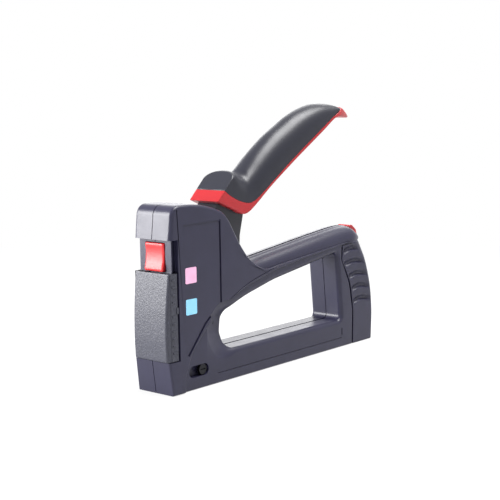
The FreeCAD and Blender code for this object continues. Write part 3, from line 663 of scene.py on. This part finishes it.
# share along the lever: bottom x, z; crest x, z; parting x, z; half width; straight share; squareness
leverStations = [
    (0.00, 32.0, 90.2, 46.1, 104.2, 37.1, 95.2, 9.7, 0.70, 2.2),
    (0.03, 36.0, 88.5, 48.4, 104.3, 40.2, 93.0, 9.7, 0.69, 2.2),
    (0.06, 40.5, 86.7, 50.9, 102.9, 43.8, 91.1, 9.7, 0.62, 2.2),
    (0.10, 45.5, 84.6, 54.0, 101.7, 48.0, 89.4, 9.6, 0.52, 2.2),
    (0.14, 50.2, 82.7, 57.2, 102.5, 52.6, 88.1, 9.5, 0.44, 2.1),
    (0.18, 54.0, 82.5, 60.3, 105.2, 56.6, 87.4, 9.5, 0.38, 2.1),
    (0.22, 58.2, 84.4, 63.4, 107.9, 59.8, 88.0, 9.5, 0.34, 2.1),
    (0.28, 64.4, 88.6, 67.8, 111.6, 64.9, 91.0, 9.6, 0.30, 2.1),
    (0.36, 73.4, 94.9, 73.8, 116.0, 73.3, 96.6, 9.65, 0.28, 2.1),
    (0.46, 85.2, 102.3, 81.8, 121.2, 84.6, 104.0, 9.7, 0.28, 2.1),
    (0.56, 97.0, 109.4, 90.6, 125.8, 96.2, 111.0, 9.7, 0.28, 2.1),
    (0.66, 108.7, 116.2, 100.4, 130.7, 107.8, 117.8, 9.7, 0.28, 2.1),
    (0.76, 119.4, 122.4, 110.8, 134.4, 118.4, 124.0, 9.65, 0.27, 2.1),
    (0.84, 126.0, 126.4, 119.6, 136.3, 125.4, 128.0, 9.5, 0.25, 2.1),
    (0.90, 129.8, 128.4, 126.4, 136.5, 129.4, 130.2, 9.4, 0.24, 2.1),
    (0.94, 132.0, 129.0, 130.6, 136.3, 131.8, 131.4, 9.2, 0.24, 2.1),
    (0.97, 133.6, 129.4, 133.4, 135.8, 133.6, 132.4, 9.0, 0.24, 2.1),
    (0.99, 135.0, 129.6, 135.2, 134.9, 135.1, 133.0, 8.5, 0.24, 2.1),
    (1.00, 135.9, 129.7, 136.1, 134.0, 136.0, 133.2, 8.0, 0.24, 2.1)]


def leverPoint(values, u, y):
    # a point at share u from the bottom to the crest
    bx, bz, tx, tz = values[:4]
    return (bx + (tx - bx) * u, y, bz + (tz - bz) * u)


def partingShare(values):
    # where the soft grip meets the shell, as a share from the bottom to the crest
    bottom, crest, parting = Vector(values[0:2]), Vector(values[2:4]), Vector(values[4:6])
    run = crest - bottom
    return (parting - bottom).dot(run) / run.length_squared


def gripRings():
    # flat underside on the shell, upright sides, and a rounded crest
    rings = []
    for k in range(leverSizes["slices"] + 1):
        values = along(leverStations, k / leverSizes["slices"])
        half, straight, square = values[6:9]
        rise = (Vector(values[2:4]) - Vector(values[0:2])).length
        u0 = partingShare(values) + leverSizes["gap"] / rise
        straight = max(straight, u0 + 0.02)
        ring = [leverPoint(values, u0, -half * j / 5) for j in (-5, -3, 0, 3)]
        ring += [leverPoint(values, u0 + (straight - u0) * j / 5, -half) for j in range(5)]
        arc = [math.pi / 2 * j / 16 for j in range(17)]
        near = [leverPoint(values, straight + (1 - straight) * math.sin(t) ** (2 / square),
                           -half * abs(math.cos(t)) ** (2 / square)) for t in arc]
        far = [(x, -y, z) for x, y, z in reversed(near[:-1])]
        ring += near + far
        ring += [leverPoint(values, u0 + (straight - u0) * j / 5, half) for j in (4, 3, 2, 1)]
        rings.append(ring)
    return rings


def buildLeverGrip():
    grip = addSkin("leverGrip", gripRings())
    bevelWhere(grip, 0.5, 3, lambda place, way: place.x < 47 and onFront(place))
    smooth(grip, 34)
    finishPiece(grip, "lever", "soft_grip", finish["softTouchElastomer"], "lever_grip")


def onFront(place):
    # in the flat front of the lever
    return abs((place.x - 32.0) * 14.0 - (place.z - 90.2) * 14.1) / 19.87 < 0.1


# beak at the end of the red shell: share, x, bottom, top, half width
beakStations = [
    (0.0, 126.4, 126.7, 128.2, 9.45), (0.08, 129.0, 128.0, 130.05, 9.4), (0.15, 131.0, 128.6, 131.1, 9.3),
    (0.22, 133.0, 128.9, 132.1, 9.1), (0.28, 134.8, 128.9, 132.8, 8.8), (0.34, 136.2, 128.9, 133.9, 8.5),
    (0.40, 137.6, 128.9, 134.6, 8.1), (0.50, 139.9, 128.8, 134.0, 7.4), (0.65, 142.9, 128.5, 132.6, 6.3),
    (0.78, 146.0, 128.3, 131.0, 5.0), (0.90, 148.9, 128.3, 129.9, 3.4), (1.0, 151.2, 128.6, 129.2, 1.8)]


def shellRings():
    # the red strip under the grip, with rounded lower edges
    rings = []
    slices = leverSizes["shellSlices"]
    for k in range(slices + 1):
        values = along(leverStations, leverSizes["shellEnd"] * k / slices)
        half = values[6]
        u1 = partingShare(values)
        rise = (Vector(values[2:4]) - Vector(values[0:2])).length
        corner = min(leverSizes["shellCorner"], u1 * rise * 0.4)
        arc = [(corner * (1 - math.cos(t)) / rise, half - corner + corner * math.sin(t))
               for t in (math.pi / 2 * j / 5 for j in range(1, 6))]
        ring = [leverPoint(values, 0, y) for y in (half - corner, 3, 0, -3, -(half - corner))]
        ring += [leverPoint(values, u, -y) for u, y in arc]
        ring += [leverPoint(values, u1 * 0.6, -half), leverPoint(values, u1, -half)]
        ring += [leverPoint(values, u1, y) for y in (-half * 0.6, 0, half * 0.6)]
        ring += [leverPoint(values, u1, half), leverPoint(values, u1 * 0.6, half)]
        ring += [leverPoint(values, u, y) for u, y in reversed(arc)]
        rings.append(ring)
    return rings


def beakRings():
    # squarish rings that narrow to the tip
    rings = []
    slices = leverSizes["beakSlices"]
    for k in range(slices + 1):
        x, low, high, half = along(beakStations, k / slices)
        middle, deep = (low + high) / 2, (high - low) / 2
        ring = []
        for j in range(40):
            t = math.tau * j / 40
            c, s = math.cos(t), math.sin(t)
            y = half * math.copysign(abs(c) ** 0.35, c)
            z = middle + deep * math.copysign(abs(s) ** 0.45, s) - 0.10 * (abs(y) / half) ** 2 * deep
            ring.append((x, y, z))
        rings.append(ring)
    return rings


def buildLeverShell():
    shell = addSkin("leverShell", shellRings())
    bevelWhere(shell, 0.45, 3, lambda place, way: place.x < 40 and onFront(place) and place.z < 94.5)
    beak = addSkin("beak", beakRings())
    weld(shell, beak)
    # clear of the arm that hangs below the lever
    mouth = [(35.0, 84.0), (54.8, 78.0), (54.8, 86.4), (41.5, 91.8), (36.4, 91.8), (35.0, 90.2)]
    carve(shell, addSlab("mouth", mouth, -leverSizes["grooveHalf"], leverSizes["grooveHalf"]))
    smooth(outwards(shell), 34)
    finishPiece(shell, "lever", "red_plastic", finish["redAbs"], "lever_shell")


buildLeverGrip()
buildLeverShell()
print("lever built")


# rear grip

rearSizes = {"half": 10.7, "low": 0.1, "levels": 170, "ribDepth": 1.5, "ribTop": 55.4, "ribPitch": 7.4,
             "ribShare": 0.52, "ribRows": 4.9, "ribBow": 1.8}

# height, then x of the front and back edges, or the corner radius; along x, the height of the top
rearFront = [(0.0, 143.2), (10.0, 143.5), (19.4, 143.6), (27.7, 142.5), (35.4, 140.9), (43.3, 137.3),
             (50.1, 133.6), (54.0, 133.7), (58.0, 133.9), (61.0, 134.0)]
rearBack = [(0.0, 162.8), (10.0, 163.5), (16.6, 163.7), (27.0, 162.9), (33.0, 161.9), (40.0, 160.1),
            (47.6, 158.2), (53.8, 156.3), (57.0, 155.2), (61.0, 153.6)]
rearCorner = [(0.0, 2.6), (38.0, 3.2), (47.6, 4.8), (53.8, 7.2), (57.0, 8.4), (61.0, 9.4)]
rearTop = [(130.0, 57.2), (137.4, 58.0), (159.0, 59.4), (165.0, 59.6)]


def ribProfile(x, z, front, back):
    # five curved finger notches: each sinks slowly from above and comes out in a short lip
    share = max(0.0, min(1.0, (x - front) / (back - front)))
    level = rearSizes["ribTop"] + rearSizes["ribBow"] * math.sin(math.pi * min(1.0, share * 1.15)) - z
    row = level / rearSizes["ribPitch"]
    phase = (row - math.floor(row)) / rearSizes["ribShare"]
    if row < 0 or row > rearSizes["ribRows"] or phase > 1:
        return 0.0
    if phase < 0.66:
        return -rearSizes["ribDepth"] * math.sin(math.pi / 2 * phase / 0.66)
    return -rearSizes["ribDepth"] * (0.5 + 0.5 * math.cos(math.pi * (phase - 0.66) / 0.34))


def rearRings():
    rings = []
    half, low, levels = rearSizes["half"], rearSizes["low"], rearSizes["levels"]
    for k in range(levels + 1):
        share = k / levels
        ring = []
        rough = low + 59.0 * share
        front = along(rearFront, rough)[0]
        back = along(rearBack, rough)[0]
        corner = along(rearCorner, rough)[0]
        arc = [math.pi / 2 * j / 8 for j in range(1, 9)]
        path = [(front + (back - corner - front) * j / 26, half) for j in range(27)]
        path += [(back - corner + corner * math.sin(t), half - corner + corner * math.cos(t)) for t in arc]
        path += [(back + 0.05 * (1 - j / 4), (half - corner) * (1 - j / 4)) for j in range(1, 5)]
        for x, y in path:
            top = along(rearTop, x)[0]
            z = low + (top - low) * share
            # the notches fade out at the front edge and before the rear corner
            sunk = ribProfile(x, z, front, back) * min(1.0, max(0.0, (x - front - 0.8) / 0.8))
            sunk *= min(1.0, max(0.0, (back - corner - x) / 2.5)) if y > half - 0.01 else 0.0
            ring.append((x, -(y + sunk), z))
        ring += [(x, -y, z) for x, y, z in reversed(ring[:-1])]
        rings.append(ring)
    return rings


def buildRearGrip():
    grip = addSkin("rearGrip", rearRings())
    bevelWhere(grip, 0.5, 3, lambda place, way: place.z < 0.3 or place.z > 57)
    carve(grip, addBlock("railSeat", 129, 152, -5.0, 5.0, 0.9, 11.2),
          addBlock("fingerRoom", 129, 148.6, -7.2, 7.2, 24, 54.5))
    weld(grip, addBlock("slideTongue", 134.2, 146.0, -3.0, 3.0, 17.0, 22.2))
    carve(grip, addRod("pinBore", 1.56, 147.0, -9, 9, 6.5))
    smooth(outwards(grip), 30)
    finishPiece(grip, "magazine", "housing_plastic", finish["satinPolyamideCharcoal"], "rear_grip")
    print("rear grip built")


buildRearGrip()


# front cover, its button and the lock

coverSizes = {"half": 12.2, "wall": 1.5, "corner": 1.5, "low": 16.75, "high": 59.0, "rows": 44,
              "sink": 0.4, "bars": 11, "barPitch": 3.5, "barLow": 20.6, "barHigh": 0.9}
# height, then x of the bowed front
coverBow = [(16.7, -6.95), (19.0, -7.1), (28.0, -7.40), (40.0, -7.0), (50.0, -6.1), (57.0, -5.3),
            (59.0, -5.05)]


def coverRing(z):
    front = along(coverBow, z)[0]
    half, wall, corner = coverSizes["half"], coverSizes["wall"], coverSizes["corner"]
    edge = noseHalfAt(front) - 0.15
    # the flange is sunk a little, so that its raised bars come up level with the front
    flange = half - coverSizes["sink"]
    outer = [(-0.1, flange), (-2.2, flange), (-4.3, flange), (-4.6, edge + 0.05)]
    for j in range(9):
        t = math.pi / 2 * j / 8
        outer.append((front + corner - corner * math.sin(t), edge - corner + corner * math.cos(t)))
    outer += [(front, (edge - corner) * j / 4) for j in (3, 2, 1, 0)]
    inner = [(-4.3, 0), (-4.3, 5), (-4.3, half - wall - 0.4), (-3.9, half - wall), (-2.0, half - wall),
             (-0.1, half - wall)]
    near = [(x, -y) for x, y in outer]
    far = [(x, y) for x, y in reversed(outer[:-1])]
    back = [(x, y) for x, y in reversed(inner)] + [(x, -y) for x, y in inner[1:]]
    return [(x, y, z) for x, y in near + far + back]


def buildCover():
    low, high, rows = coverSizes["low"], coverSizes["high"], coverSizes["rows"]
    cover = addSkin("frontCover", [coverRing(low + (high - low) * k / rows) for k in range(rows + 1)])
    bevelWhere(cover, 0.35, 2, lambda place, way: abs(way.z) < 0.3 and place.x < -0.5 and
               (place.z < low + 0.1 or place.z > high - 0.1))
    side = coverSizes["half"]
    marks = []
    for sign in (-1, 1):
        # finger tab, and the row of small raised bars down each flange, with every third one longer
        marks.append(addBlock("tab", -1.0, 0.4, *sorted((sign * (side - 1.4), sign * side)), 39.6, 42.6))
        inside, outside = sorted((sign * (side - 1.0), sign * (side - 0.02)))
        for k in range(coverSizes["bars"]):
            z = coverSizes["barLow"] + coverSizes["barPitch"] * k
            if abs(z - 41.1) > 1.9:
                wide = 2.1 if k % 3 else 3.0
                marks.append(addBlock("bar", -3.7, -3.7 + wide, inside, outside, z, z + coverSizes["barHigh"]))
    for mark in marks:
        bevelWhere(mark, 0.15, 2, lambda place, way: abs(place.y) > side - 0.3)
        weld(cover, mark)
    smooth(outwards(cover), 30)
    finishPiece(cover, "cover", "cover_plastic", finish["etchedPolyamideGrey"], "front_cover")
    print("cover built")


buttonSizes = {"half": 6.2, "low": 59.5, "tall": 13.6, "back": -0.7, "corner": 0.55, "hollow": 0.25}
# height, then x of the face
buttonFace = [(59.5, -3.9), (60.4, -4.05), (62.0, -3.8), (64.5, -3.25), (67.5, -3.0), (70.0, -3.05),
              (72.2, -3.3), (73.1, -3.15)]


def buildButton():
    # hollow in the middle, with its foot swept outwards under the thumb
    half, low, back = buttonSizes["half"], buttonSizes["low"], buttonSizes["back"]
    rings = []
    for k in range(29):
        z = low + buttonSizes["tall"] * k / 28
        x = along(buttonFace, z)[0]
        ring = [(back, -half, z)]
        for j in range(21):
            y = -half + 2 * half * j / 20
            rounded = buttonSizes["corner"] * max(0.0, (abs(y) - (half - 1.0)) / 1.0) ** 2
            dish = buttonSizes["hollow"] * (1 - (y / half) ** 2)
            ring.append((x + rounded + dish, y, z))
        ring.append((back, half, z))
        rings.append(ring)
    button = addSkin("coverButton", rings)
    bevelWhere(button, 0.5, 3, lambda place, way: (place.z < 59.6 or place.z > 73.0) and place.x < -2
               and abs(way.y) > 0.5)
    weld(button, addBlock("stem", -1.0, 1.4, -1.4, 1.4, 64.9, 67.7))
    smooth(outwards(button), 34)
    finishPiece(button, "button", "red_plastic", finish["redAbsButton"], "cover_button")


lockSizes = {"half": 4.4, "grooves": 3, "grooveHalf": 3.4, "pin": (151.4, 62.2), "pinRadius": 1.2,
             "pinHalf": 5.4}
lockOutline = [
    (149.0, 61.9, 0.8), (151.4, 61.0, 1), (155.4, 61.0, 0.4), (156.6, 61.3, 0.4), (155.6, 64.2, 1.4),
    (151.8, 67.2, 2.2), (149.4, 67.2, 1)]


def buildLock():
    # the catch for the closed lever, and the pin that it swings on
    half, across, pinHalf = lockSizes["half"], lockSizes["grooveHalf"], lockSizes["pinHalf"]
    pinX, pinZ = lockSizes["pin"]
    lock = addSlab("leverLock", roundedOutline(lockOutline), -half, half)
    bevelWhere(lock, 0.6, 3, lambda place, way: abs(abs(place.y) - half) < 0.01)
    for k in range(lockSizes["grooves"]):
        x, z = 152.0 + 1.3 * k, 68.0 - 0.9 * k
        groove = [(x, z), (x + 0.6, z), (x + 0.5, z - 1.9), (x + 0.1, z - 1.9)]
        carve(lock, addSlab("lockGroove", groove, -across, across))
    carve(lock, addRod("lockBore", 1.25, pinX, -9, 9, pinZ, 24))
    smooth(outwards(lock), 30)
    finishPiece(lock, "lock", "red_plastic", finish["redAbs"], "lever_lock")
    pin = addRod("lockPin", lockSizes["pinRadius"], pinX, -pinHalf, pinHalf, pinZ, 32)
    bevelWhere(pin, 0.2, 2, lambda place, way: abs(abs(place.y) - pinHalf) < 0.01)
    smooth(pin)
    finishPiece(pin, "housing", "tool_steel", finish["groundToolSteel"], "lock_pin")


buildCover()
buildButton()
buildLock()
print("button and lock built")


# carried-over mechanism

mechanismFinish = {
    # the channel screws get the near-black steel as painted shade for the oval recess they sit in
    "blackOxideSteelAndRecessShade": ["housing_screws", "channel_screws"],
    "zincPlatedStrip": ["nose_plate", "magazine_channel", "spring_seat", "blade_rivets",
                        "magazine_rail", "pusher_rod", "pusher"],
    "groundToolSteel": ["rocker_pin", "lever_pin", "detent_ball", "lifting_rocker", "plunger",
                        "driver_blade", "rail_pin"],
    "drawnSpringWire": ["power_spring", "return_spring", "button_spring", "detent_spring", "pusher_spring"],
    "nitrileRubber": ["strike_buffer"],
    "waxyNylonBlack": ["lever_tongue"],
}


def dressMechanism():
    # the parts of the frame that show as they are get their finish here
    for name, nodes in mechanismFinish.items():
        for node in nodes:
            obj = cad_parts[node]
            obj.data.materials.clear()
            obj.data.materials.append(finish[name])


dressMechanism()
print("mechanism dressed")


# floor, light and camera

studio = {
    "floorReach": 30.0,
    "paper": 0.9,
    "skyFill": 0.26,            # strength of the sky's light on the tool
    "floorWhite": (0.80, 1.0),  # share of plain white near the tool and far from it
    "floorFade": (0.12, 0.60),  # and the distances between which it changes
}

# place, target, width, height and power of each lamp
lamps = {
    "frontSoftbox": ((-0.60, 0.56, 0.27), (0.0, 0.0, 0.08), 0.60, 0.50, 20.0),
    "topSoftbox": ((0.30, -0.24, 0.92), (0.08, 0.0, 0.12), 0.70, 0.50, 18.0),
    "backSoftbox": ((0.95, 0.82, 0.40), (0.08, 0.0, 0.06), 1.20, 0.60, 5.0),
}

# angles in degrees, lens and sensor in millimetres, place in metres
view = {"azimuth": -49.25, "elevation": 7.7, "roll": 0.9, "lens": 82.8, "sensor": 36.0,
        "place": (-0.38321, -0.38768, 0.14206)}


def whiteRays(tree):
    # 1 for what the camera, a reflection or glass sees, 0 for light that falls on the object
    rays = addNode(tree, "ShaderNodeLightPath")
    first = addNode(tree, "ShaderNodeMath", {"operation": "MAXIMUM"},
                    {0: rays.outputs["Is Camera Ray"], 1: rays.outputs["Is Glossy Ray"]})
    return addNode(tree, "ShaderNodeMath", {"operation": "MAXIMUM"},
                   {0: first.outputs[0], 1: rays.outputs["Is Transmission Ray"]}).outputs[0]


def buildFloor():
    deselectAll()
    bpy.ops.mesh.primitive_plane_add(size=studio["floorReach"], location=(0, 0, -0.0002))
    floor = bpy.context.active_object
    floor.name = "studioFloor"
    material, tree = newMaterial("whitePaperSweep")
    paper = addNode(tree, "ShaderNodeBsdfDiffuse", {"Color": (studio["paper"],) * 3 + (1,)})
    glow = addNode(tree, "ShaderNodeEmission", {"Color": (1, 1, 1, 1), "Strength": 1.0})
    # the shadow is kept round the tool, and the paper goes to plain white further out
    place = addNode(tree, "ShaderNodeTexCoord").outputs["Object"]
    away = addNode(tree, "ShaderNodeVectorMath", {"operation": "LENGTH"}, {0: place}).outputs["Value"]
    fade = addNode(tree, "ShaderNodeMapRange",
                   {"interpolation_type": "SMOOTHSTEP", "From Min": studio["floorFade"][0],
                    "From Max": studio["floorFade"][1], "To Min": studio["floorWhite"][0],
                    "To Max": studio["floorWhite"][1]}, {"Value": away})
    share = addNode(tree, "ShaderNodeMath", {"operation": "MULTIPLY"},
                    {0: whiteRays(tree), 1: fade.outputs["Result"]})
    mixed = addNode(tree, "ShaderNodeMixShader", None,
                    {0: share.outputs[0], 1: paper.outputs[0], 2: glow.outputs[0]})
    addNode(tree, "ShaderNodeOutputMaterial", None, {"Surface": mixed.outputs[0]})
    floor.data.materials.append(material)


def buildSky():
    world = bpy.data.worlds.new("studioWorld")
    bpy.context.scene.world = world
    world.use_nodes = True
    tree = world.node_tree
    tree.nodes.clear()
    fill = addNode(tree, "ShaderNodeBackground", {"Color": (1, 1, 1, 1), "Strength": studio["skyFill"]})
    seen = addNode(tree, "ShaderNodeBackground", {"Color": (1, 1, 1, 1), "Strength": 1.0})
    mixed = addNode(tree, "ShaderNodeMixShader", None,
                    {0: whiteRays(tree), 1: fill.outputs[0], 2: seen.outputs[0]})
    addNode(tree, "ShaderNodeOutputWorld", None, {"Surface": mixed.outputs[0]})


def addLamp(name, place, target, wide, tall, power):
    # a rectangular soft lamp turned to its target
    lamp = bpy.data.lights.new(name, "AREA")
    lamp.shape = "RECTANGLE"
    lamp.size = wide
    lamp.size_y = tall
    lamp.energy = power
    holder = bpy.data.objects.new(name, lamp)
    bpy.context.scene.collection.objects.link(holder)
    holder.location = place
    holder.visible_camera = False
    holder.rotation_mode = "QUATERNION"
    holder.rotation_quaternion = (Vector(target) - Vector(place)).to_track_quat("-Z", "Y")


def buildCamera():
    azimuth, elevation, roll = (math.radians(view[key]) for key in ("azimuth", "elevation", "roll"))
    back = Vector((math.sin(azimuth) * math.cos(elevation), -math.cos(azimuth) * math.cos(elevation),
                   math.sin(elevation)))
    right = (-back).cross(Vector((0, 0, 1))).normalized()
    down = (-back).cross(right)
    rightRolled = right * math.cos(roll) + down * math.sin(roll)
    downRolled = down * math.cos(roll) - right * math.sin(roll)
    lens = bpy.data.cameras.new("studioCamera")
    lens.lens = view["lens"]
    lens.sensor_width = view["sensor"]
    lens.clip_start, lens.clip_end = 0.01, 100.0
    camera = bpy.data.objects.new("studioCamera", lens)
    bpy.context.scene.collection.objects.link(camera)
    turn = Matrix((rightRolled, -downRolled, back)).transposed().to_4x4()
    camera.matrix_world = Matrix.Translation(view["place"]) @ turn
    bpy.context.scene.camera = camera


buildFloor()
buildSky()
for lampName, setting in lamps.items():
    addLamp(lampName, *setting)
buildCamera()
bpy.context.scene.view_settings.view_transform = "Standard"
print("studio ready")
